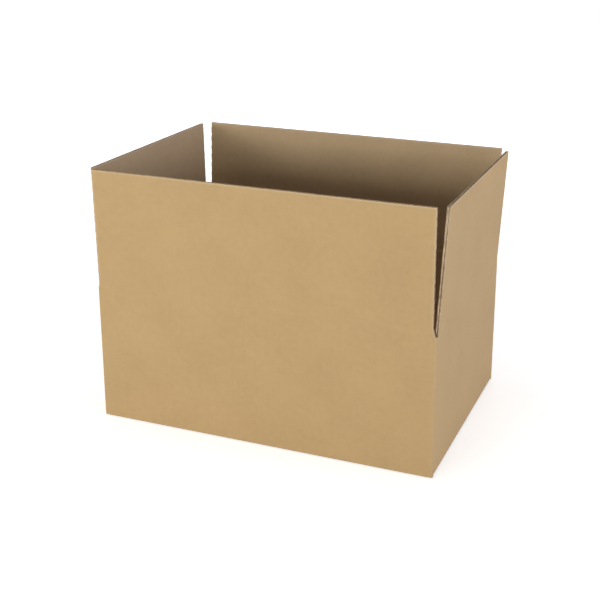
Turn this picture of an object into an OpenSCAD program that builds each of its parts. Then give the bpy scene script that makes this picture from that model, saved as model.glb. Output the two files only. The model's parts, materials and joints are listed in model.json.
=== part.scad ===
// Shipping carton of brown corrugated board, folded from one slotted sheet.
// The bottom is shut and glued. The four top flaps stand up and lean out a little.
// Millimetres, Z up. The origin is the centre of the base on the floor. X runs along the
// wide walls, and the front wall faces -Y.

/* [Carton] */
// Outside length, along the wide walls
box_l = 450; // [330:1:620]
// Outside width, along the end walls
box_w = 300; // [200:1:420]
// Height of the end flaps' fold lines above the floor
end_fold_z = 182; // [90:1:400]

/* [Board] */
// Thickness of the corrugated board
board = 3.6; // [2.6:0.1:4.6]
// Thickness of each flat outer sheet
liner = 0.35; // [0.2:0.05:0.6]
// Thickness of the wavy middle sheet
medium = 0.3; // [0.2:0.05:0.4]
// Distance from one flute to the next
flute_pitch = 7.8; // [6:0.1:11]
// Width of each glued line between a flute tip and a flat sheet
glue_line = 1.2; // [0.6:0.1:2]
// Width of the strip beside a fold in which the flutes are pressed shut
pressed_strip = 8; // [6:1:20]

/* [Folds] */
// Outside radius of the upright corner folds and of the bottom folds
fold_r = 3.6; // [2:0.1:3.8]
// Height of the open crease between a wall and its standing flap
crease_gap = 0.5; // [0.4:0.05:0.8]
// How far the bending line lies outside the wall's outer face
crease_out = 0.15; // [0.05:0.05:0.15]
// Clearance between the end flaps and the wide flaps that shut over them
lap_gap = 0.2; // [0.1:0.05:1]

/* [Slots] */
// Clearance at each end of a wide flap, from the inner face of the end wall
wide_side_gap = 0.4; // [0.2:0.1:4]
// Clearance at each end of an end flap, from the inner face of the wide wall
end_side_gap = 0.9; // [0.3:0.1:4]
// Clearance between the two wide flaps when they are shut
seam_gap = 1; // [0.4:0.1:6]
// Depth of the two left corner slots below the end flaps' fold lines
left_slot_drop = 6; // [1:0.5:12]
// Depth of the two right corner slots below the end flaps' fold lines
right_slot_drop = 1; // [1:0.5:12]
// Distance from a box corner at which the sloping end of a slot meets its floor
slot_nose = 0.8; // [0.2:0.1:2.2]
// How much wider a wide flap gets at each end, down at its fold
flare_w = 1.4; // [0.5:0.1:1.6]
// Height over which the wide flap gets wider
flare_h = 5; // [3:0.5:5.5]
// How much wider the slot in the back flap is cut at the glued corner
glued_slot_extra = 2; // [0:0.1:4]

/* [Flap lean] */
// Angle at which the front flap leans out, in degrees
front_angle = 1.9; // [0:0.1:12]
// Angle at which the back flap leans out, in degrees
back_angle = 4.1; // [0:0.1:12]
// Angle at which the left flap leans out, in degrees
left_angle = 1.0; // [0:0.1:12]
// Angle at which the right flap leans out, in degrees
right_angle = 3.1; // [0:0.1:12]

/* [Bottom] */
// Height of the end walls' bottom folds and of the corner posts above the floor
end_base_z = 1.5; // [0.5:0.1:2.5]
// Length over which an end bottom flap climbs onto the wide bottom flaps
climb = 4; // [2:0.5:12]

/* [Glued joint] */
// Width of the tab glued inside the left wall, from the back wall's outer face
tab_w = 38; // [20:1:70]
// How much the tab narrows at its top and at its bottom
tab_taper = 10; // [0:1:30]
// Clearance above and below the tab, to the folded end flaps
tab_gap = 1.5; // [0.5:0.1:6]
// Width of the glue line that is left between the left wall and the tab's round fold
tab_seam = 0.5; // [0.3:0.1:1]
// Distance from the left wall's cut edge to the back wall's outer face
cut_edge_gap = 0.6; // [0.2:0.1:2]
// Depth to which the flute lies open in the left wall's cut edge
cut_edge_depth = 2; // [0.5:0.1:3]

/* [Hidden] */

KRAFT = [0.76, 0.64, 0.46];
KRAFT_FLAP = [0.78, 0.66, 0.48];
ARC_STEPS = 5;
// Straight stretches in each flute's arch, and in those that only the bottom seam shows
FLUTE_STEPS = 3;
SEAM_FLUTE_STEPS = 2;
// Length by which a cutting shape runs past the sheet that it cuts
PAST = 1;

half_l = box_l / 2;
half_w = box_w / 2;
// The wide flaps fold one board above the end flaps, so that they shut flat over them
wide_fold_z = end_fold_z + board + lap_gap;
// A shut wide flap reaches from its bending line to the middle seam
wide_flap_h = half_w + crease_out - seam_gap / 2 + crease_gap / 2;
flap_top_z = wide_fold_z + wide_flap_h;
end_flap_h = flap_top_z - end_fold_z;
// The tab's fold is no rounder than the board allows beside its glue line
tab_fold_r = min(fold_r, board - tab_seam);
// Length of all bottom flaps, from the outer face of their wall
bottom_flap_l = half_w - seam_gap / 2;
wide_flap_w = box_l - 2 * (board + wide_side_gap);
end_flap_w = box_w - 2 * (board + end_side_gap);
flute_amp = (board - 2 * liner - medium) / 2;

// Points on an arc about (cx, cy) from angle a0 to angle a1
function arc(cx, cy, r, a0, a1) =
    [for (i = [0:ARC_STEPS]) let (a = a0 + (a1 - a0) * i / ARC_STEPS) [cx + r * cos(a), cy + r * sin(a)]];

// Height of the wavy sheet's middle above the outer face, at s along the flutes' pitch
function wave(s, pitch) = board / 2 + flute_amp * cos(360 * s / pitch);

// Open cross-section of one flute, between a flat sheet and the wavy sheet over it
module flute_mouth(pitch, steps) {
    w = pitch - glue_line;
    across = [for (i = [1:steps - 1]) w * (i / steps - 0.5)];
    arch = [for (s = across) [s, wave(s, pitch) - medium / 2]];
    polygon(concat([[-w / 2, liner]], arch, [[w / 2, liner]]));
}

// All the flutes across a sheet of the given width, so that both side edges cut one open
module flute_mouths(width, steps) {
    count = round(width / flute_pitch);
    pitch = width / count;
    for (k = [0:count])
        translate([k * pitch - width / 2, 0]) flute_mouth(pitch, steps);
    for (k = [0:count - 1])
        translate([(k + 0.5) * pitch - width / 2, board]) mirror([0, 1]) flute_mouth(pitch, steps);
}

// Turns a profile drawn as (inward, up) into a bar along X, centred
module bar(length) {
    translate([-length / 2, 0, 0]) rotate([90, 0, 90]) linear_extrude(length) children();
}

// Puts a shape made for the front wall, whose outer face is at y = 0, on one of the walls
module on_front() { translate([0, -half_w, 0]) children(); }
module on_right() { rotate([0, 0, 90]) translate([0, -half_l, 0]) children(); }
module on_back() { rotate([0, 0, 180]) translate([0, -half_w, 0]) children(); }
module on_left() { rotate([0, 0, 270]) translate([0, -half_l, 0]) children(); }

// Outline of the four walls. At the back left the back wall folds in to the glued tab, and
// the left wall ends in a cut edge with its flute open between the two flat sheets.
module wall_outline() {
    cut_y = half_w - cut_edge_gap;
    polygon(concat(
        arc(half_l - fold_r, fold_r - half_w, fold_r, -90, 0),
        arc(half_l - fold_r, half_w - fold_r, fold_r, 0, 90),
        arc(board + tab_fold_r - half_l, half_w - tab_fold_r, tab_fold_r, 90, 180),
        [[board - half_l, cut_y],
         [board - liner - half_l, cut_y],
         [board - liner - half_l, cut_y - cut_edge_depth],
         [liner - half_l, cut_y - cut_edge_depth],
         [liner - half_l, cut_y],
         [-half_l, cut_y]],
        arc(fold_r - half_l, fold_r - half_w, fold_r, 180, 270)
    ));
}

module walls() {
    translate([0, 0, end_base_z]) linear_extrude(wide_fold_z - end_base_z) difference() {
        wall_outline();
        square([box_l - 2 * board, box_w - 2 * board], center = true);
    }
}

// Tab at the end of the back wall, glued to the inside of the left wall
module glued_tab() {
    low = 2 * board + tab_gap;
    high = end_fold_z - board - tab_gap;
    translate([board - half_l, 0, 0]) rotate([90, 0, 90]) linear_extrude(board) polygon([
        [half_w - board, low],
        [half_w - tab_w, low + tab_taper],
        [half_w - tab_w, high - tab_taper],
        [half_w - board, high]
    ]);
}

// Flutes of a bottom flap, open at its free edge
module bottom_flutes(width, z, steps) {
    translate([0, pressed_strip, z]) rotate([-90, 0, 0]) mirror([0, 1, 0])
        linear_extrude(bottom_flap_l - pressed_strip + PAST) flute_mouths(width, steps);
}

// Wide bottom flap, which lies on the floor
module wide_bottom_flap() {
    difference() {
        translate([-wide_flap_w / 2, 0, 0]) cube([wide_flap_w, bottom_flap_l, board]);
        bottom_flutes(wide_flap_w, 0, SEAM_FLUTE_STEPS);
    }
}

// End bottom flap, which climbs from its fold and lies glued on the wide bottom flaps
module end_bottom_flap() {
    ramp = max(fold_r, board);
    difference() {
        bar(end_flap_w) polygon([
            [0, end_base_z],
            [ramp, end_base_z],
            [ramp + climb, board],
            [bottom_flap_l, board],
            [bottom_flap_l, 2 * board],
            [0, 2 * board]
        ]);
        bottom_flutes(end_flap_w, board, FLUTE_STEPS);
    }
}

// What is cut from a wall's lower outer edge to leave the round fold
module fold_round(width, z) {
    bar(width) polygon(concat(
        [[fold_r, z - PAST], [-PAST, z - PAST], [-PAST, z + fold_r]],
        arc(fold_r, z + fold_r, fold_r, 180, 270)
    ));
}

// What is cut above a wall's sloping top edge, so that its flap can fold in
module wall_top_cut(width, fold_z) {
    bar(width) polygon([
        [-PAST, fold_z + PAST],
        [board + PAST, fold_z - board - PAST],
        [board + PAST, flap_top_z],
        [-PAST, flap_top_z]
    ]);
}

// Slot with a level floor in the right wall, made with the front right corner at the origin
module end_wall_slot(floor_z, start_y) {
    translate([-board, start_y, floor_z])
        cube([board + PAST, board + end_side_gap - start_y, flap_top_z - floor_z]);
}

// The same slot with its part in the front wall, whose end slopes to the slot's floor
module corner_slot(floor_z) {
    end_x = flare_w - board - wide_side_gap;
    translate([0, board, 0]) rotate([90, 0, 0]) linear_extrude(board + PAST) polygon([
        [end_x, wide_fold_z - crease_gap],
        [-slot_nose, floor_z],
        [PAST, floor_z],
        [PAST, flap_top_z],
        [end_x, flap_top_z]
    ]);
    end_wall_slot(floor_z, board);
}

// The walls and the shut bottom: one folded and glued piece
module carton_body() color(KRAFT) difference() {
    union() {
        walls();
        glued_tab();
        on_front() wide_bottom_flap();
        on_back() wide_bottom_flap();
        on_left() end_bottom_flap();
        on_right() end_bottom_flap();
    }
    on_front() fold_round(wide_flap_w, 0);
    on_back() fold_round(wide_flap_w, 0);
    on_left() fold_round(end_flap_w, end_base_z);
    on_right() fold_round(end_flap_w, end_base_z);
    on_front() wall_top_cut(wide_flap_w + 2 * flare_w, wide_fold_z);
    on_back() wall_top_cut(wide_flap_w + 2 * flare_w, wide_fold_z);
    on_left() wall_top_cut(end_flap_w, end_fold_z);
    on_right() wall_top_cut(end_flap_w, end_fold_z);
    translate([half_l, -half_w, 0]) corner_slot(end_fold_z - right_slot_drop);
    translate([half_l, half_w, 0]) mirror([0, 1, 0]) corner_slot(end_fold_z - right_slot_drop);
    translate([-half_l, -half_w, 0]) mirror([1, 0, 0]) corner_slot(end_fold_z - left_slot_drop);
    // At the glued corner the left wall's own cut edge bounds its slot
    translate([-half_l, half_w, 0]) rotate([0, 0, 180]) end_wall_slot(end_fold_z - left_slot_drop, -PAST);
}

// What is cut from an end of a wide flap above the stretch beside its fold, further in by extra
module flare_trim(height, extra) {
    translate([wide_flap_w / 2, board + PAST / 2, 0]) rotate([90, 0, 0])
        linear_extrude(board + PAST) polygon([
            [flare_w, 0],
            [-extra, flare_h],
            [-extra, height + PAST],
            [flare_w + PAST, height + PAST],
            [flare_w + PAST, 0]
        ]);
}

// Sheet of a top flap over the front wall's outer face, with its fold line at z = 0. Its lower
// edge slopes like the wall's top edge.
module flap_sheet(width, height) {
    bar(width) polygon([
        [0, crease_gap],
        [board, crease_gap + board],
        [board, height],
        [0, height]
    ]);
}

// Flutes of a top flap, open at its free edge
module top_flutes(width, height) {
    translate([0, 0, pressed_strip]) linear_extrude(height - pressed_strip + PAST)
        flute_mouths(width, FLUTE_STEPS);
}

// Leans a flap out about its bending line
module leaning(angle) {
    translate([0, -crease_out, crease_gap / 2]) rotate([angle, 0, 0])
        translate([0, crease_out, -crease_gap / 2]) children();
}

module wide_top_flap(angle, extra) color(KRAFT_FLAP) translate([0, 0, wide_fold_z]) leaning(angle)
    difference() {
        flap_sheet(wide_flap_w + 2 * flare_w, wide_flap_h);
        top_flutes(wide_flap_w, wide_flap_h);
        flare_trim(wide_flap_h, extra);
        mirror([1, 0, 0]) flare_trim(wide_flap_h, 0);
    }

module end_top_flap(angle) color(KRAFT_FLAP) translate([0, 0, end_fold_z]) leaning(angle) difference() {
    flap_sheet(end_flap_w, end_flap_h);
    top_flutes(end_flap_w, end_flap_h);
}

module top_flap_front() on_front() wide_top_flap(front_angle, 0);
module top_flap_back() on_back() wide_top_flap(back_angle, glued_slot_extra);
module top_flap_left() on_left() end_top_flap(left_angle);
module top_flap_right() on_right() end_top_flap(right_angle);

carton_body();
top_flap_front();
top_flap_back();
top_flap_left();
top_flap_right();
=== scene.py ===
# Looks of an open carton of brown corrugated board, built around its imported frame. Metres, Z up.
# The sheet is modelled as real board: two flat liners with a wavy sheet between them. Every point
# also keeps its place on the flat, unfolded sheet, and the materials are laid out in those places.
import json
import math

import bpy
import numpy as np
from mathutils import Matrix, Vector


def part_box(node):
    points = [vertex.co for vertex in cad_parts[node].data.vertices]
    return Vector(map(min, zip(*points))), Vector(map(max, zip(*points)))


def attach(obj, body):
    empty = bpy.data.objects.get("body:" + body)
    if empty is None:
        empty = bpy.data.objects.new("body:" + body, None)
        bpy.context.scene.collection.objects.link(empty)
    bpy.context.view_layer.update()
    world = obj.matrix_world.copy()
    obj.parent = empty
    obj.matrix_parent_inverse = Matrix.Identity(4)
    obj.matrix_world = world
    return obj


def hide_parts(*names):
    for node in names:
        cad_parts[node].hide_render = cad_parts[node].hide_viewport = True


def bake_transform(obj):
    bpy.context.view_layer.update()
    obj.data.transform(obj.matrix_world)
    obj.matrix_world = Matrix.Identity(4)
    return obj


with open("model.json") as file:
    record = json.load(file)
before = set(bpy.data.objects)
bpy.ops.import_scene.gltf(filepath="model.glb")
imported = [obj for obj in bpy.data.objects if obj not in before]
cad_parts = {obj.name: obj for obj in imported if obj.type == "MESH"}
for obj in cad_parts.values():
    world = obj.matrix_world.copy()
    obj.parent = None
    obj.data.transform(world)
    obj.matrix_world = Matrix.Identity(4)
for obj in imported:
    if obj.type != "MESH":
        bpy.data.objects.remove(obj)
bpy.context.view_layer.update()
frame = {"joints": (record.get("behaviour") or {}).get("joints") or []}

MM = 0.001

# The board: two flat liners and the wavy medium between them, glued a little into them
BOARD = 3.6 * MM
LINER = 0.35 * MM
MEDIUM = 0.3 * MM
PITCH = 7.8 * MM
GLUED_IN = 0.02 * MM
# How far the flutes run askew, in flutes from a top flap's fold to its top edge
FLUTE_DRIFT = 0.25

# The carton's outline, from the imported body. The end flaps fold one board below the wide ones.
HALF_L, HALF_W, WIDE_FOLD_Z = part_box("carton_body")[1]
LAP_GAP = 0.2 * MM
END_FOLD_Z = WIDE_FOLD_Z - BOARD - LAP_GAP
CORNER_R = 3.6 * MM
# The glued joint: the tab's fold at the end of the back wall, and the left wall's cut edge outside it
TAB_FOLD_R = 3.1 * MM
CUT_EDGE_GAP = 0.6 * MM
TAB_W = 38 * MM
TAB_TAPER = 10 * MM
TAB_GAP = 1.5 * MM
# The shut bottom: the end flaps' folds lie this high, and the flaps climb over this length
END_BASE_Z = 1.5 * MM
CLIMB = 4 * MM
# Where two flaps meet, they leave this gap, and the wide ones of the bottom a closer one
SEAM_GAP = 1 * MM
BOTTOM_SEAM = 0.15 * MM

# Half the widths of the flaps, each a little less than what is left between the other walls
HALF_WIDE = HALF_L - BOARD - 0.4 * MM
HALF_END = HALF_W - BOARD - 0.9 * MM
# The feet of the slots. From full width at FLARE_H above the fold a slot narrows by FLARE_W down
# to the fold, and on to a nose at its foot.
LEFT_SLOT_Z = END_FOLD_Z - 6 * MM
RIGHT_SLOT_Z = END_FOLD_Z - 1 * MM
SLOT_NOSE = 0.8 * MM
FLARE_W = 1.4 * MM
FLARE_H = 5 * MM
# The front right slot is blunt at its foot, and the one at the glued joint is wide. Low is at
# FLARE_H above the fold, and high at the flap's top edge.
FRONT_SLOT_NOSE = 2.4 * MM
FRONT_SLOT_LOW = 5.4 * MM
FRONT_SLOT_HIGH = 4.3 * MM
GLUED_SLOT_LOW = 10 * MM
GLUED_SLOT_HIGH = 8 * MM
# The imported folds: the open crease below a flap, and the pivot's distance outside the wall
CREASE_GAP = 0.5 * MM
PIVOT_OUT = 0.15 * MM
FLAP_TOP_Z = WIDE_FOLD_Z + HALF_W + PIVOT_OUT - SEAM_GAP / 2 + CREASE_GAP / 2

# The bending stretch of a fold reaches this far below and above it
FOLD_REACH = 5 * MM
# Depths and widths of the dents that the folds leave in the board
CREASE_DENT = 1.1 * MM
CREASE_W = 2.4 * MM
CORNER_DENT = 0.9 * MM
CORNER_DENT_W = 3.2 * MM
# Share of a round corner's radius that the end of a flap follows at most
ROUND_SHARE = 0.9
# The roundness of the glued corner fades out over this height, from this far below the fold
ROUND_FADE = 3 * MM
ROUND_FADE_BELOW = 2 * MM

# Cut edges: how far the liners and the medium swell there and over what width, and the two waves
# of their ragged line, given by wavelength over 2 pi. It grows to its full size over a rise above
# the folds.
BURR = 0.36 * MM
MEDIUM_BURR = 0.9 * MM
BURR_W = 0.55 * MM
RAGGED = 0.22 * MM
RAGGED_LONG = 2.1 * MM
RAGGED_SHORT = 0.9 * MM
RAGGED_SHORT_SHARE = 0.8
RAGGED_SHORT_PHASE = 2.3
RAGGED_RISE = 8 * MM

# Rubbed paper, which along cut edges is also a painted highlight: its width along cut edges, corners and
# the base, and its strength at the folds
EDGE_WEAR_AND_HIGHLIGHT_W = 1.3 * MM
CREASE_WEAR = 0.03
CORNER_WEAR = 0.08
CORNER_WEAR_W = 1.8 * MM
BASE_WEAR = 0.12
BASE_WEAR_W = 3.5 * MM

# The meshes. A face has plain steps, and at each edge a reach with a few fine steps. On the walls
# and across the top flaps the same three are shares of the whole.
EDGE_STEPS = 4
EDGE_STEP = 0.4 * MM
EDGE_REACH = 6 * MM
FLAP_STEP = 1.5 * MM
FLAP_SHARES = (9 * MM / (2 * HALF_L), 0.001, 0.015)
BOTTOM_STEP = 12 * MM
WALL_STEP = 8 * MM
WALL_SHARES = (0.09, 0.003, 0.03)
CREASE_STEPS = 20
CORNER_STEPS = 20
CORNER_REACH = 7 * MM
BASE_FOLD_STEPS = 8
# Two places on the same sheet that would coincide are kept this far apart
EPS = 0.02 * MM
# Points on one flute's wave, in the top flaps and in the carton, where it hardly shows
WAVE_STEPS = 12
HIDDEN_WAVE_STEPS = 8
# The medium ends this far inside a cut edge
FLUTE_INSET = 0.25 * MM
# Its places along the flutes: in a top flap one near the edge and every fourth of the liners' own,
# in a bottom flap two distances from the edge, and in the walls shares of the height
TOP_FLUTE_NEAR_EDGE = 2 * MM
TOP_FLUTE_EVERY = 4
BOTTOM_FLUTE_PLACES = (8 * MM, 60 * MM)
WALL_FLUTE_SHARES = (0, 0.03, 0.5, 0.97, 1)
# Edges sharper than this stay sharp
SHARP_ANGLE = math.radians(32)
# Places are rounded to this many decimals, and those closer than this count as the same
DECIMALS = 9
SAME = 1e-9

# Colours of the paper, in linear light
OUTSIDE_KRAFT = (0.545, 0.37, 0.184)
INSIDE_KRAFT = (0.505, 0.366, 0.222)
FLUTE_DARK = (0.4, 0.28, 0.18, 1)
FLUTE_LIGHT = (0.74, 0.57, 0.39, 1)
CUT_DARK = (0.37, 0.255, 0.155, 1)
CUT_LIGHT = (0.73, 0.56, 0.385, 1)
# Each liner: its colour, how strongly its tone varies, and how strong its specks are
LINERS = {
    "kraft_outside": (OUTSIDE_KRAFT, 1.0, 0.35),
    "kraft_inside": (INSIDE_KRAFT, 1.1, 0.4),
}

# The papers' patterns: the scale of each one's noise along the sheet, up it and through it, per
# metre, and its detail and roughness
PATTERNS = {
    "cloud": ((14, 14, 14), 3.0, 0.55),
    "mottle": ((130, 110, 130), 3.0, 0.6),
    "streak": ((25, 700, 200), 2.0, 0.5),
    "fibre": ((900, 4200, 900), 2.0, 0.6),
    "cross_fibre": ((3600, 1100, 900), 2.0, 0.6),
    "dark_speck": ((620, 480, 620), 1.0, 0.5),
    "light_speck": ((610, 450, 300), 1.0, 0.5),
    "rubbing": ((450, 450, 450), 3.0, 0.7),
    "flute_mottle": ((150, 150, 300), 2.0, 0.5),
    "flute_fibre": ((1200, 3600, 1800), 2.0, 0.6),
    "cut_patch": ((170, 170, 170), 2.0, 0.5),
    "cut_fuzz": ((2600, 2600, 5200), 3.0, 0.7),
}
# Stretches of a noise's values that a ramp spreads over its whole output
NOISE_RANGE = (0.3, 0.7)
WIDE_NOISE_RANGE = (0.25, 0.75)
NARROW_NOISE_RANGE = (0.38, 0.62)
# How far each pattern swings a liner's tone from the middle, and over which values
TONE_MIDDLE = 0.5
TONE_SWINGS = {
    "cloud": (0.09, NOISE_RANGE),
    "mottle": (0.07, NOISE_RANGE),
    "streak": (0.03, NOISE_RANGE),
    "fibre": (0.2, WIDE_NOISE_RANGE),
    "cross_fibre": (0.16, WIDE_NOISE_RANGE),
}
WAVE_TONE = 0.008
# The liner's shades at the darkest and the lightest tone
TONE_SHADES = (0.8, 1.2)
# Each kind of speck: the noise values at which it starts and is full, and its shade
SPECKS = {"dark_speck": (0.7, 0.77, 0.5), "light_speck": (0.24, 0.18, 1.45)}
# Rubbed paper, with a painted highlight along the cut edges: how its noise breaks it up, its share at
# full wear, and its tint
RUBBING_AND_HIGHLIGHT_RAMP = (0.3, 0.6, 0.3, 1.0)
RUBBED_AND_HIGHLIGHT_SHARE = 0.9
RUBBED_AND_HIGHLIGHT_TINT = (1.28, 1.42, 1.85)
# The liner's relief, roughness and gloss
RELIEF_SHARES = {"fibre": 0.5, "cross_fibre": 0.4, "mottle": 0.6}
WAVE_RELIEF = 0.1
LINER_RELIEF = 0.05 * MM
LINER_ROUGHNESS = (0.72, 0.84)
LINER_SPECULAR = 0.25
# The papers at a cut: a broad pattern with its share, a fine one, two colours, roughness, relief
CUT_PAPERS = {
    "flute_paper": ("flute_mottle", 0.7, "flute_fibre", FLUTE_DARK, FLUTE_LIGHT, (0.8, 0.92), 0.06 * MM),
    "cut_paper": ("cut_patch", 0.65, "cut_fuzz", CUT_DARK, CUT_LIGHT, (0.82, 0.92), 0.08 * MM),
}
CUT_SPECULAR = 0.08

# The stage, the lamps and the camera
PLAIN_WHITE = (1.0, 1.0, 1.0, 1)
FLOOR_HALF = 12.0
FLOOR_DROP = 0.2 * MM
FLOOR_COLOUR = (0.88, 0.88, 0.88, 1)
# The floor as the camera sees it: its colour, and a glow that grows between two distances
FLOOR_SEEN = (0.8, 0.8, 0.8, 1)
FLOOR_GLOW = (0.58, 0.95)
FLOOR_GLOW_REACH = (0.5, 2.0)
WORLD_STRENGTH = 0.06
# The lamps face this point from this distance
LIT_POINT = (0.0, 0.0, 0.18)
LAMP_DISTANCE = 2.6
LOW_SIZE = (1.6, 0.5)
TOP_SIZE = (1.6, 1.6)
WHITE = (1.0, 1.0, 1.0)
WARM = (1.0, 1.0, 0.93)
COOL = (0.97, 1.01, 1.15)
# Each softbox: azimuth from the front and elevation in degrees, size, power in watts, and colour
SOFTBOXES = {
    "key": (-25, 10.5, LOW_SIZE, 28.0, WARM),
    "middle": (8, 11.5, LOW_SIZE, 12.0, WARM),
    "right": (85, 9.5, LOW_SIZE, 29.5, COOL),
    "rear": (190, 9.0, LOW_SIZE, 20.0, WHITE),
    "rear_left": (265, 9.0, LOW_SIZE, 20.0, WHITE),
    "top": (0, 90, TOP_SIZE, 18.5, WHITE),
}
# The camera: its place, its azimuth from the front, elevation and roll in degrees, and its lens
# and sensor in millimetres
CAMERA_PLACE = (0.53197, -1.2703, 0.67119)
CAMERA_ANGLES = (20.729, 16.752, 0.494)
CAMERA_LENS = 65.883
CAMERA_SENSOR = 36
CAMERA_SHIFT = (-0.0702, -0.1374)
CAMERA_CLIP = (0.05, 100)

# Each side of the carton: quarter turns from the front, and its wall's distance from the middle
SIDES = {"front": (0, HALF_W), "right": (1, HALF_L), "back": (2, HALF_W), "left": (3, HALF_L)}
# Each bottom flap: its side, half its width, and the height of its fold above the floor
BOTTOM_FLAPS = (
    ("front", HALF_WIDE, 0.0),
    ("right", HALF_END, END_BASE_Z),
    ("back", HALF_WIDE, 0.0),
    ("left", HALF_END, END_BASE_Z),
)


def smooth(x):
    """Eases from 0 to 1."""
    x = np.clip(x, 0, 1)
    return x * x * (3 - 2 * x)


def bump(x, width):
    """A hump of height 1 at x = 0."""
    return np.exp(-((x / width) ** 2))


def stations(low, high, step, fine, margin):
    """Places from low to high, about a step apart, and within the margins closer, down to fine."""
    near = np.concatenate([
        np.arange(EDGE_STEPS) * fine,
        np.linspace(EDGE_STEPS * fine, margin, EDGE_STEPS),
    ])
    count = max(2, int(round((high - low - 2 * margin) / step)) + 1)
    middle = np.linspace(low + margin, high - margin, count)
    return np.unique(np.round(np.concatenate([low + near, middle, high - near]), DECIMALS))


def on_side(side, along, inward, up):
    """Points given along a wall, inward from its outer face and up, in the carton's own axes."""
    turns, distance = SIDES[side]
    c, s = round(math.cos(turns * math.pi / 2)), round(math.sin(turns * math.pi / 2))
    x, y = along, inward - distance
    return np.stack([c * x - s * y, s * x + c * y, up], -1)


class Outline:
    """The outer line of the walls, as straight stretches and left turns, seen from above."""

    def __init__(self, start, heading):
        self.pieces = []
        self.length = 0.0
        self.point = np.array(start, float)
        self.heading = math.radians(heading)

    def line(self, length):
        """Goes straight on."""
        self.pieces.append(("line", self.length, length, self.point.copy(), self.heading))
        self.point = self.point + length * self.ahead(self.heading)
        self.length += length

    def turn(self, radius):
        """Turns left through a right angle."""
        length = radius * math.pi / 2
        self.pieces.append(("turn", self.length, length, self.point.copy(), self.heading))
        centre = self.point + radius * self.inward(self.heading)
        self.heading += math.pi / 2
        self.point = centre - radius * self.inward(self.heading)
        self.length += length

    def ahead(self, heading):
        return np.stack([np.cos(heading), np.sin(heading)], -1)

    def inward(self, heading):
        return np.stack([-np.sin(heading), np.cos(heading)], -1)

    def at(self, s):
        """Points on the line and the directions inward at them."""
        points = np.zeros(s.shape + (2,))
        inward = np.zeros(s.shape + (2,))
        for kind, first, length, start, heading in self.pieces:
            here = (s >= first - SAME) & (s <= first + length + SAME)
            run = s[here] - first
            if kind == "line":
                points[here] = start + run[:, None] * self.ahead(heading)
                inward[here] = self.inward(heading)
            else:
                radius = length / (math.pi / 2)
                angle = heading + run / radius
                inward[here] = self.inward(angle)
                points[here] = start + radius * (self.inward(heading) - self.inward(angle))
        return points, inward


class Sheet:
    """Gathers closed slabs of board into one mesh."""

    def __init__(self):
        self.places, self.flat, self.wear, self.faces, self.finishes = [], [], [], [], []
        self.count = 0

    def slab(self, s, t, low, high, place, flat_from, finish, wear=None):
        """A slab over the grid of flat places s, t, from depth low to depth high.
        finish numbers the materials of its low face, its high face and its edges."""
        s, t, low, high = np.broadcast_arrays(s, t, low, high)
        worn_and_highlighted = np.zeros(s.shape) if wear is None else wear(s, t)
        rows, columns = s.shape
        for depth in (low, high):
            self.places.append(place(s, t, depth).reshape(-1, 3))
            self.flat.append(np.stack([s + flat_from, t, depth], -1).reshape(-1, 3))
            self.wear.append(worn_and_highlighted.reshape(-1))
        number = np.arange(rows * columns).reshape(rows, columns) + self.count
        above = number + rows * columns
        a, b, c, d = number[:-1, :-1], number[1:, :-1], number[1:, 1:], number[:-1, 1:]
        self.quads([a, b, c, d], finish[0])
        a, b, c, d = above[:-1, :-1], above[:-1, 1:], above[1:, 1:], above[1:, :-1]
        self.quads([a, b, c, d], finish[1])
        rims = (
            (number[:, 0], above[:, 0]),
            (above[:, -1], number[:, -1]),
            (above[0], number[0]),
            (number[-1], above[-1]),
        )
        for near, far in rims:
            self.quads([near[:-1], far[:-1], far[1:], near[1:]], finish[2])
        self.count += 2 * rows * columns

    def quads(self, corners, finish):
        """Adds faces, given by the numbers of their four corners, in one material."""
        quads = np.stack([c.reshape(-1) for c in corners], -1)
        self.faces.append(quads)
        self.finishes.append(np.full(len(quads), finish))

    def build(self, name, materials):
        """Makes the piece, whose mesh also holds each point's flat place and its wear, with the painted
        highlight along cut edges.
        """
        mesh = bpy.data.meshes.new(name)
        places = np.concatenate(self.places)
        faces = np.concatenate(self.faces)
        mesh.from_pydata(places.tolist(), [], faces.tolist())
        for material in materials:
            mesh.materials.append(material)
        mesh.polygons.foreach_set("material_index", np.concatenate(self.finishes))
        flat = mesh.attributes.new("flat", "FLOAT_VECTOR", "POINT")
        flat.data.foreach_set("vector", np.concatenate(self.flat).astype(np.float32).ravel())
        wear = mesh.attributes.new("wear", "FLOAT", "POINT")
        wear.data.foreach_set("value", np.concatenate(self.wear).astype(np.float32))
        mesh.shade_smooth()
        mesh.set_sharp_from_angle(angle=SHARP_ANGLE)
        mesh.update()
        piece = bpy.data.objects.new(name, mesh)
        bpy.context.scene.collection.objects.link(piece)
        return piece


# The places of the papers in a sheet's materials: those of LINERS, then those of CUT_PAPERS
OUTSIDE, INSIDE, FLUTE, CUT = range(4)


def add_board(sheet, grid, flute_grid, thickness, place, flat_from, wear, round_off, cut_from):
    """Adds the two liners and the wavy medium between them. thickness(s, t) is the board's,
    round_off(s, t) how far its outer face is set in, and cut_from(s, t) the distance from the
    nearest cut edge. flute_grid is (s, t, turns), where turns counts the flutes along s."""
    s, t = grid
    outer = round_off(s, t)
    full = thickness(s, t)
    liner = LINER + BURR * bump(cut_from(s, t), BURR_W)
    sheet.slab(s, t, outer, outer + liner, place, flat_from, (OUTSIDE, FLUTE, CUT), wear)
    sheet.slab(s, t, full - liner, full, place, flat_from, (FLUTE, INSIDE, CUT), wear)
    s, t, turns = flute_grid
    outer = round_off(s, t)
    medium = MEDIUM + MEDIUM_BURR * bump(cut_from(s, t), BURR_W)
    room = thickness(s, t) - outer - 2 * LINER - medium + 2 * GLUED_IN
    wave = outer + LINER - GLUED_IN + room * (0.5 + 0.5 * np.sin(2 * math.pi * turns))
    sheet.slab(s, t, wave, wave + medium, place, flat_from, (FLUTE, FLUTE, CUT))


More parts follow.
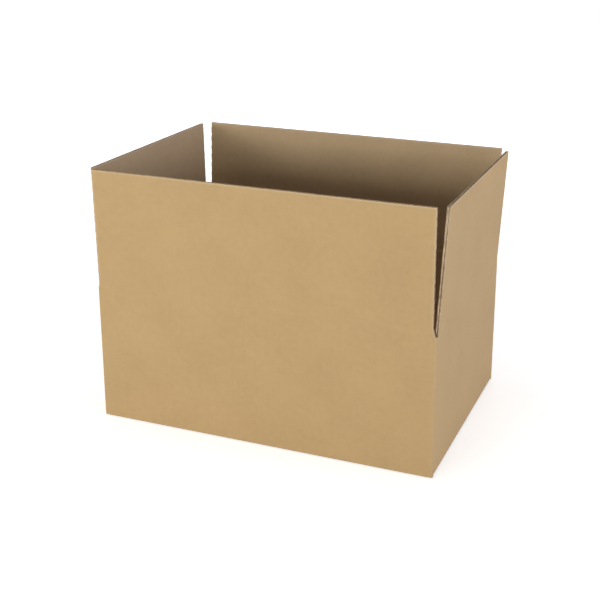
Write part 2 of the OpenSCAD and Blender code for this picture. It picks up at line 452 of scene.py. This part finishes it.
def joint(side):
    """The pivot's height and the outward lean of a side's top flap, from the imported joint."""
    found = next(j for j in frame["joints"] if j["name"] == side + "_fold")
    return found["pos_m"][2], math.radians(found["range_deg"][1] - 90)


def flap_place(side, fold_z):
    """How a place on a flat top flap, at height t on the sheet, stands in its leaning place."""
    pivot_z, lean = joint(side)

    def place(s, t, depth):
        angle = lean * smooth((t - fold_z + FOLD_REACH) / (2 * FOLD_REACH))
        inward, up = depth + PIVOT_OUT, t - pivot_z
        turned_in = inward * np.cos(angle) - up * np.sin(angle)
        turned_up = inward * np.sin(angle) + up * np.cos(angle)
        return on_side(side, s, turned_in - PIVOT_OUT, pivot_z + turned_up)

    return place


def rounded(past, radius):
    """How far in a round corner lies, at a distance past its start along the wall."""
    past = np.clip(past, 0, ROUND_SHARE * radius)
    return radius - np.sqrt(radius**2 - past**2)


def wide_end(t, slot_z):
    """Half the length of a wide wall above its slot, and of its flap, at height t."""
    heights = [slot_z, WIDE_FOLD_Z - CREASE_GAP, WIDE_FOLD_Z, WIDE_FOLD_Z + FLARE_H]
    flared = HALF_WIDE + FLARE_W
    return np.interp(t, heights, [HALF_L - SLOT_NOSE, flared, flared, HALF_WIDE])


def front_slot_end(t):
    """The same at the front right corner, where the slot is wide and blunt."""
    heights = [RIGHT_SLOT_Z, WIDE_FOLD_Z + FLARE_H, FLAP_TOP_Z]
    return HALF_L - np.interp(t, heights, [FRONT_SLOT_NOSE, FRONT_SLOT_LOW, FRONT_SLOT_HIGH])


def glued_end(t):
    """The same at the corner of the glued joint, where the back wall ends in the tab's fold."""
    heights = [WIDE_FOLD_Z - CREASE_GAP, WIDE_FOLD_Z, WIDE_FOLD_Z + FLARE_H, FLAP_TOP_Z]
    insets = [BOARD, HALF_L - HALF_WIDE - FLARE_W, GLUED_SLOT_LOW, GLUED_SLOT_HIGH]
    return HALF_L - np.interp(t, heights, insets)


def ragged(t, phase):
    """The small swings of a cut edge above the folds. phase sets one edge apart from the next."""
    long = np.sin(t / RAGGED_LONG + phase)
    short = RAGGED_SHORT_SHARE * np.sin(t / RAGGED_SHORT + RAGGED_SHORT_PHASE * phase)
    return RAGGED * (long + short) * smooth((t - WIDE_FOLD_Z) / RAGGED_RISE)


def front_ends(t):
    """Where the front flap's two side edges lie at height t. The next three are for the others."""
    return -wide_end(t, LEFT_SLOT_Z) + ragged(t, 1), front_slot_end(t) + ragged(t, 2)


def back_ends(t):
    return -wide_end(t, RIGHT_SLOT_Z) + ragged(t, 3), glued_end(t) + ragged(t, 4)


def left_ends(t):
    return -HALF_END + ragged(t, 5), HALF_END + ragged(t, 6)


def right_ends(t):
    return -HALF_END + ragged(t, 7), HALF_END + ragged(t, 8)


def front_rounding(s, t):
    """How far a wide wall's outer face is set in, at its round corners."""
    return rounded(np.abs(s) - (HALF_L - CORNER_R), CORNER_R)


def back_rounding(s, t):
    """At the glued joint only the wall is round, and not the flap above it."""
    glued = rounded(s - (HALF_L - BOARD - TAB_FOLD_R), TAB_FOLD_R)
    glued = glued * (1 - smooth((t - WIDE_FOLD_Z + ROUND_FADE_BELOW) / ROUND_FADE))
    return np.where(s < 0, front_rounding(s, t), glued)


def no_rounding(s, t):
    """The outer face isn't set in anywhere."""
    return 0.0 * s * t


def not_cut(s, t):
    """Far from every cut edge."""
    return 1.0 + 0.0 * s * t


def build_flap(side, fold_z, ends, rounding, flat_from, materials):
    """A top flap with the bending stretch of its fold. ends(t) gives its two side edges."""
    place = flap_place(side, fold_z)
    seam_z = fold_z - FOLD_REACH
    crease = np.linspace(seam_z, fold_z + FOLD_REACH, CREASE_STEPS + 1)
    above = stations(crease[-1], FLAP_TOP_Z, FLAP_STEP, EDGE_STEP, EDGE_REACH)
    t = np.concatenate([crease, above[1:]])
    first, last = ends(t)
    share = stations(0, 1, *FLAP_SHARES)[:, None]

    def thickness(s, t):
        return BOARD - CREASE_DENT * bump(t - fold_z, CREASE_W) + 0.0 * s

    def cut_from(s, t):
        first, last = ends(t)
        return np.minimum(np.minimum(s - first, last - s), FLAP_TOP_Z - t)

    # Rubbed paper along the folds and cut edges; along the cut edges it is also a painted highlight on
    # the rims
    def wear(s, t):
        return np.maximum(bump(cut_from(s, t), EDGE_WEAR_AND_HIGHLIGHT_W), CREASE_WEAR * bump(t - fold_z, CREASE_W))

    count = round(float(last[-1] - first[-1]) / PITCH)
    turns = (np.arange(count * WAVE_STEPS + 1) / WAVE_STEPS)[:, None]
    flute_t = np.concatenate([
        crease[::2],
        t[len(crease):-EDGE_STEPS:TOP_FLUTE_EVERY],
        [FLAP_TOP_Z - TOP_FLUTE_NEAR_EDGE, FLAP_TOP_Z - FLUTE_INSET],
    ])
    flute_first, flute_last = ends(flute_t)
    flute_s = flute_first + (flute_last - flute_first) * turns / count
    drifted = turns + FLUTE_DRIFT * (FLAP_TOP_Z - flute_t) / (FLAP_TOP_Z - fold_z)
    sheet = Sheet()
    add_board(
        sheet,
        (first + (last - first) * share, t[None, :]),
        (flute_s, flute_t[None, :], drifted),
        thickness, place, flat_from, wear, rounding, cut_from,
    )
    piece = sheet.build("flap_%s_sheet" % side, materials)
    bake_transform(piece)
    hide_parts("top_flap_" + side)


def wall_outline():
    """The walls' outer line, from the left wall's cut edge round to the end of the glued tab,
    and where along it the middle of each wall and of each round corner lies."""
    outline = Outline((-HALF_L, HALF_W - CUT_EDGE_GAP), -90)
    middles, corners = {}, []
    runs = {
        "left": (2 * HALF_W - CUT_EDGE_GAP - CORNER_R, HALF_W - CUT_EDGE_GAP, CORNER_R),
        "front": (2 * (HALF_L - CORNER_R), HALF_L - CORNER_R, CORNER_R),
        "right": (2 * (HALF_W - CORNER_R), HALF_W - CORNER_R, CORNER_R),
        "back": (2 * HALF_L - CORNER_R - BOARD - TAB_FOLD_R, HALF_L - CORNER_R, TAB_FOLD_R),
    }
    for side, (length, middle, radius) in runs.items():
        middles[side] = outline.length + middle
        outline.line(length)
        corners.append(outline.length + radius * math.pi / 4)
        outline.turn(radius)
    outline.line(TAB_W - TAB_FOLD_R)
    return outline, middles, corners


def level_line(points):
    """A line through (place, height) points, as a function of the place. Where two points share
    a place, the line steps there."""
    places = np.array([p[0] for p in points])
    for i in range(1, len(places)):
        places[i] = max(places[i], places[i - 1] + EPS)
    heights = [p[1] for p in points]
    return places, lambda s: np.interp(s, places, heights)


def wall_levels(outline, middles):
    """The lowest and the highest line of the upright sheet below the top folds' stretches."""
    wide_seam = WIDE_FOLD_Z - FOLD_REACH
    end_seam = END_FOLD_Z - FOLD_REACH
    wide_base = CORNER_R
    end_base = END_BASE_Z + CORNER_R
    straight = HALF_L - CORNER_R
    nose = straight + CORNER_R * math.asin((CORNER_R - SLOT_NOSE) / CORNER_R)
    front_nose = straight + CORNER_R * math.asin((CORNER_R - FRONT_SLOT_NOSE) / CORNER_R)
    slope = straight + CORNER_R * math.asin((wide_end(wide_seam, LEFT_SLOT_Z) - straight) / CORNER_R)
    tab_fold = HALF_L - BOARD - TAB_FOLD_R
    tab_start = outline.length - TAB_W + TAB_FOLD_R
    tab_low = 2 * BOARD + TAB_GAP
    tab_high = END_FOLD_Z - BOARD - TAB_GAP
    left, front, right, back = (middles[side] for side in ("left", "front", "right", "back"))
    top = level_line([
        (0, LEFT_SLOT_Z), (left - HALF_END, LEFT_SLOT_Z), (left - HALF_END, end_seam),
        (left + HALF_END, end_seam), (left + HALF_END, LEFT_SLOT_Z),
        (front - nose, LEFT_SLOT_Z), (front - slope, wide_seam),
        (front + front_nose, wide_seam), (front + front_nose, RIGHT_SLOT_Z),
        (right - HALF_END, RIGHT_SLOT_Z), (right - HALF_END, end_seam),
        (right + HALF_END, end_seam), (right + HALF_END, RIGHT_SLOT_Z),
        (back - nose, RIGHT_SLOT_Z), (back - nose, wide_seam),
        (back + tab_fold, wide_seam), (tab_start, tab_high),
        (outline.length, tab_high - TAB_TAPER),
    ])
    low = level_line([
        (0, END_BASE_Z), (left - HALF_END, END_BASE_Z), (left - HALF_END, end_base),
        (left + HALF_END, end_base), (left + HALF_END, END_BASE_Z),
        (front - HALF_WIDE, END_BASE_Z), (front - HALF_WIDE, wide_base),
        (front + HALF_WIDE, wide_base), (front + HALF_WIDE, END_BASE_Z),
        (right - HALF_END, END_BASE_Z), (right - HALF_END, end_base),
        (right + HALF_END, end_base), (right + HALF_END, END_BASE_Z),
        (back - HALF_WIDE, END_BASE_Z), (back - HALF_WIDE, wide_base),
        (back + tab_fold, wide_base), (back + tab_fold, END_BASE_Z), (tab_start, tab_low),
        (outline.length, tab_low + TAB_TAPER),
    ])
    return low, top


def add_walls(sheet, outline, middles, corners):
    """The four walls and the tab, one folded sheet."""
    (low_places, low_line), (top_places, top_line) = wall_levels(outline, middles)
    near_corners = [c + np.linspace(-CORNER_REACH, CORNER_REACH, CORNER_STEPS + 1) for c in corners]
    s = [np.arange(0, outline.length, WALL_STEP), [outline.length], low_places, top_places]
    s = np.unique(np.round(np.concatenate(s + near_corners), DECIMALS))
    s = s[(s >= 0) & (s <= outline.length)]
    share = stations(0, 1, *WALL_SHARES)[None, :]
    flute_share = np.array(WALL_FLUTE_SHARES)[None, :]
    flutes = round(outline.length / PITCH)
    turns = np.arange(flutes * HIDDEN_WAVE_STEPS + 1) / HIDDEN_WAVE_STEPS
    flute_s = turns * outline.length / turns[-1]

    def between(places, share):
        return low_line(places)[:, None] * (1 - share) + top_line(places)[:, None] * share

    def thickness(s, t):
        dents = [CORNER_DENT * bump(s - c, CORNER_DENT_W) for c in corners]
        return BOARD - sum(dents) + 0.0 * t

    def wear(s, t):
        folds = [CORNER_WEAR * bump(s - c, CORNER_WEAR_W) for c in corners]
        return np.maximum(np.maximum.reduce(folds), base_wear(t) + 0.0 * s)

    def place(s, t, depth):
        points, inward = outline.at(s)
        points = points + inward * depth[..., None]
        return np.concatenate([points, t[..., None]], -1)

    add_board(
        sheet,
        (s[:, None], between(s, share)),
        (flute_s[:, None], between(flute_s, flute_share), turns[:, None]),
        thickness, place, -middles["front"], wear, no_rounding, not_cut,
    )


def base_wear(t):
    """The rubbed stretch along the bottom folds."""
    return BASE_WEAR * bump(t - END_BASE_Z, BASE_WEAR_W)


def add_bottom_flap(sheet, side, half, base_z, flat_from):
    """A shut bottom flap with the round fold to its wall, where half is half its width. Those of
    the end walls start at base_z and climb onto the others."""
    top = base_z + CORNER_R
    round_length = CORNER_R * math.pi / 2
    flat_length = HALF_W - (SEAM_GAP if base_z else BOTTOM_SEAM) / 2 - CORNER_R
    end = top - round_length - flat_length
    t = np.concatenate([
        stations(end, top - round_length, BOTTOM_STEP, EDGE_STEP, EDGE_REACH)[:-1],
        np.linspace(top - round_length, top, BASE_FOLD_STEPS + 1),
    ])
    s = stations(-half, half, BOTTOM_STEP, EDGE_STEP, EDGE_REACH)
    count = round(2 * half / PITCH)
    turns = np.arange(count * HIDDEN_WAVE_STEPS + 1) / HIDDEN_WAVE_STEPS
    flute_t = np.concatenate([
        [end + FLUTE_INSET],
        end + np.array(BOTTOM_FLUTE_PLACES),
        t[-BASE_FOLD_STEPS - 1::2],
    ])

    def place(s, t, depth):
        run = top - t
        angle = np.clip(run / CORNER_R, 0, math.pi / 2)
        beyond = np.clip(run - round_length, 0, None)
        inward = CORNER_R - (CORNER_R - depth) * np.cos(angle) + beyond
        up = top - (CORNER_R - depth) * np.sin(angle)
        climbing = (BOARD - base_z) * smooth((inward - CORNER_R) / CLIMB) if base_z else 0
        return on_side(side, s, inward, up + climbing)

    def thickness(s, t):
        return BOARD - CORNER_DENT * bump(t - top + round_length / 2, CORNER_DENT_W) + 0.0 * s

    def cut_from(s, t):
        return np.minimum(half - np.abs(s), t - end)

    # Rubbed paper along the base and cut edges; along the cut edges it is also a painted highlight on
    # the rims
    def wear(s, t):
        return np.maximum(bump(cut_from(s, t), EDGE_WEAR_AND_HIGHLIGHT_W), base_wear(t))

    add_board(
        sheet,
        (s[:, None], t[None, :]),
        (((turns / count) * 2 - 1)[:, None] * half, flute_t[None, :], turns[:, None]),
        thickness, place, flat_from, wear, no_rounding, cut_from,
    )


def build_carton(outline, middles, corners, materials):
    """The walls, the glued tab and the bottom flaps, in one piece."""
    sheet = Sheet()
    add_walls(sheet, outline, middles, corners)
    for side, half, base_z in BOTTOM_FLAPS:
        add_bottom_flap(sheet, side, half, base_z, middles[side] - middles["front"])
    piece = sheet.build("carton_sheet", materials)
    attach(piece, "carton")
    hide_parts("carton_body")


class Nodes:
    """The node tree of a material or world, with short ways to add nodes."""

    def __init__(self, owner):
        owner.use_nodes = True
        self.owner = owner
        self.tree = owner.node_tree
        self.tree.nodes.clear()

    def node(self, kind, inputs=None, **settings):
        """Adds a node. An input is given a value, or another node's output to link."""
        made = self.tree.nodes.new("ShaderNode" + kind)
        for name, value in settings.items():
            setattr(made, name, value)
        for name, value in (inputs or {}).items():
            if isinstance(value, bpy.types.NodeSocket):
                self.tree.links.new(value, made.inputs[name])
            else:
                made.inputs[name].default_value = value
        return made

    def math(self, operation, a, b=0.0, clamp=False):
        return self.node("Math", {0: a, 1: b}, operation=operation, use_clamp=clamp).outputs[0]

    def ramp(self, value, low, high, to_low=0.0, to_high=1.0):
        limits = {"From Min": low, "From Max": high, "To Min": to_low, "To Max": to_high}
        return self.node("MapRange", {"Value": value, **limits}, clamp=True).outputs[0]

    def mix(self, factor, a, b):
        return self.node("Mix", {0: factor, 6: a, 7: b}, data_type="RGBA").outputs[2]

    def noise(self, pattern):
        """A pattern's noise over the flat sheet."""
        scale, detail, roughness = PATTERNS[pattern]
        flat = self.node("Attribute", attribute_name="flat").outputs["Vector"]
        place = self.node("VectorMath", {0: flat, 1: scale}, operation="MULTIPLY").outputs[0]
        settings = {"Vector": place, "Scale": 1.0, "Detail": detail, "Roughness": roughness}
        return self.node("TexNoise", settings).outputs["Fac"]

    def directly_seen(self):
        """1 for what the camera or a reflection sees, and 0 for the light that it gives."""
        path = self.node("LightPath")
        return self.math("MAXIMUM", path.outputs["Is Camera Ray"], path.outputs["Is Glossy Ray"])

    def paper(self, colour, roughness, relief, depth, specular):
        """Ends a material as a matte paper whose surface has this relief."""
        normal = self.node("Bump", {"Height": relief, "Distance": depth, "Strength": 1.0})
        surface = self.node("BsdfPrincipled", {
            "Base Color": colour,
            "Roughness": roughness,
            "Normal": normal.outputs[0],
            "Specular IOR Level": specular,
        })
        self.node("OutputMaterial", {0: surface.outputs[0]})
        return self.owner


def shade(colour, factor):
    """A colour made darker or lighter, with its alpha."""
    return tuple(c * factor for c in colour) + (1.0,)


def kraft(name, colour, contrast, specks):
    """Kraft liner: cloudy tone, fine fibres, faint lines over the flutes, specks, rubbed folds, and
    rubbed cut edges with a painted highlight.
    """
    nodes = Nodes(bpy.data.materials.new(name))
    grain = {pattern: nodes.noise(pattern) for pattern in TONE_SWINGS}
    flat = nodes.node("Attribute", attribute_name="flat").outputs["Vector"]
    along = nodes.node("SeparateXYZ", {0: flat}).outputs[0]
    wave = nodes.math("COSINE", nodes.math("MULTIPLY", along, 2 * math.pi / PITCH))
    tone = TONE_MIDDLE
    for pattern, (swing, values) in TONE_SWINGS.items():
        swung = nodes.ramp(grain[pattern], *values, -swing * contrast, swing * contrast)
        tone = nodes.math("ADD", tone, swung)
    tone = nodes.math("ADD", tone, nodes.math("MULTIPLY", wave, WAVE_TONE * contrast), clamp=True)
    paper = nodes.mix(tone, *(shade(colour, factor) for factor in TONE_SHADES))
    for pattern, (start, full, factor) in SPECKS.items():
        speck = nodes.ramp(nodes.noise(pattern), start, full, 0.0, specks)
        paper = nodes.mix(speck, paper, shade(colour, factor))
    # Lighter, whiter paper where the mask is up: rubbed folds, corners and base, and along the cut edges
    # also a painted highlight
    wear = nodes.node("Attribute", attribute_name="wear").outputs["Fac"]
    broken = nodes.ramp(nodes.noise("rubbing"), *RUBBING_AND_HIGHLIGHT_RAMP)
    rubbed_and_highlight = nodes.math("MULTIPLY", nodes.math("MULTIPLY", wear, broken), RUBBED_AND_HIGHLIGHT_SHARE)
    rubbed_and_highlight_colour = [c * tint for c, tint in zip(colour, RUBBED_AND_HIGHLIGHT_TINT)]
    paper = nodes.mix(rubbed_and_highlight, paper, shade(rubbed_and_highlight_colour, 1.0))
    relief = 0.0
    for pattern, share in RELIEF_SHARES.items():
        relief = nodes.math("ADD", relief, nodes.math("MULTIPLY", grain[pattern], share))
    relief = nodes.math("ADD", relief, nodes.math("MULTIPLY", wave, WAVE_RELIEF))
    roughness = nodes.ramp(grain["mottle"], *NOISE_RANGE, *LINER_ROUGHNESS)
    return nodes.paper(paper, roughness, relief, LINER_RELIEF, LINER_SPECULAR)


def rough_paper(name):
    """The browner paper of the flutes, or the torn fibres of a cut rim."""
    broad_pattern, share, fine_pattern, dark, light, roughness, depth = CUT_PAPERS[name]
    nodes = Nodes(bpy.data.materials.new(name))
    broad, fine = nodes.noise(broad_pattern), nodes.noise(fine_pattern)
    tone = nodes.math(
        "ADD",
        nodes.math("MULTIPLY", broad, share),
        nodes.math("MULTIPLY", fine, 1 - share),
    )
    colour = nodes.mix(nodes.ramp(tone, *NARROW_NOISE_RANGE), dark, light)
    rough = nodes.ramp(broad, *NOISE_RANGE, *roughness)
    return nodes.paper(colour, rough, fine, depth, CUT_SPECULAR)


def add_floor():
    """A pale floor that shows white and keeps the carton's shadow."""
    mesh = bpy.data.meshes.new("floor")
    signs = [(-1, -1), (1, -1), (1, 1), (-1, 1)]
    places = [(x * FLOOR_HALF, y * FLOOR_HALF, -FLOOR_DROP) for x, y in signs]
    mesh.from_pydata(places, [], [(0, 1, 2, 3)])
    floor = bpy.data.objects.new("floor", mesh)
    bpy.context.scene.collection.objects.link(floor)
    nodes = Nodes(bpy.data.materials.new("pale_floor"))
    plain = nodes.node("BsdfDiffuse", {"Color": FLOOR_COLOUR})
    bright = nodes.node("BsdfDiffuse", {"Color": FLOOR_SEEN})
    place = nodes.node("NewGeometry").outputs["Position"]
    distance = nodes.node("VectorMath", {0: place}, operation="LENGTH").outputs["Value"]
    strength = nodes.ramp(distance, *FLOOR_GLOW_REACH, *FLOOR_GLOW)
    glow = nodes.node("Emission", {"Color": PLAIN_WHITE, "Strength": strength})
    lit = nodes.node("AddShader", {0: bright.outputs[0], 1: glow.outputs[0]})
    shaders = {0: nodes.directly_seen(), 1: plain.outputs[0], 2: lit.outputs[0]}
    mixed = nodes.node("MixShader", shaders)
    nodes.node("OutputMaterial", {0: mixed.outputs[0]})
    mesh.materials.append(nodes.owner)


def add_world():
    """White behind the carton, and a plain dim light from all round."""
    world = bpy.data.worlds.new("studio")
    bpy.context.scene.world = world
    nodes = Nodes(world)
    dim = nodes.node("Background", {"Color": PLAIN_WHITE, "Strength": WORLD_STRENGTH})
    white = nodes.node("Background", {"Color": PLAIN_WHITE, "Strength": 1.0})
    shaders = {0: nodes.directly_seen(), 1: dim.outputs[0], 2: white.outputs[0]}
    mixed = nodes.node("MixShader", shaders)
    nodes.node("OutputWorld", {0: mixed.outputs[0]})


def add_softbox(name, azimuth, elevation, size, power, colour):
    """An area lamp that faces the carton."""
    lamp = bpy.data.lights.new(name, "AREA")
    lamp.shape = "RECTANGLE"
    lamp.size, lamp.size_y = size
    lamp.energy = power
    lamp.color = colour
    holder = bpy.data.objects.new(name, lamp)
    a, e = math.radians(azimuth), math.radians(elevation)
    back = Vector((math.sin(a) * math.cos(e), -math.cos(a) * math.cos(e), math.sin(e)))
    holder.location = Vector(LIT_POINT) + back * LAMP_DISTANCE
    holder.rotation_mode = "QUATERNION"
    holder.rotation_quaternion = (-back).to_track_quat("-Z", "Y")
    bpy.context.scene.collection.objects.link(holder)


def add_camera():
    """The photograph's viewing angle, with the small shift of its framing."""
    camera = bpy.data.cameras.new("camera")
    camera.sensor_width = CAMERA_SENSOR
    camera.lens = CAMERA_LENS
    camera.shift_x, camera.shift_y = CAMERA_SHIFT
    camera.clip_start, camera.clip_end = CAMERA_CLIP
    holder = bpy.data.objects.new("camera", camera)
    azimuth, elevation, roll = (math.radians(x) for x in CAMERA_ANGLES)
    holder.matrix_world = (
        Matrix.Translation(CAMERA_PLACE)
        @ Matrix.Rotation(azimuth, 4, "Z")
        @ Matrix.Rotation(math.pi / 2 - elevation, 4, "X")
        @ Matrix.Rotation(roll, 4, "Z")
    )
    bpy.context.scene.collection.objects.link(holder)
    bpy.context.scene.camera = holder


outline, middles, corners = wall_outline()
papers = [kraft(name, *liner) for name, liner in LINERS.items()]
papers += [rough_paper(name) for name in CUT_PAPERS]
build_carton(outline, middles, corners, papers)
tops = {
    "front": (WIDE_FOLD_Z, front_ends, front_rounding),
    "back": (WIDE_FOLD_Z, back_ends, back_rounding),
    "left": (END_FOLD_Z, left_ends, no_rounding),
    "right": (END_FOLD_Z, right_ends, no_rounding),
}
for side, (fold_z, ends, rounding) in tops.items():
    build_flap(side, fold_z, ends, rounding, middles[side] - middles["front"], papers)

add_floor()
add_world()
for name, settings in SOFTBOXES.items():
    add_softbox(name, *settings)
add_camera()
bpy.context.scene.view_settings.view_transform = "Standard"
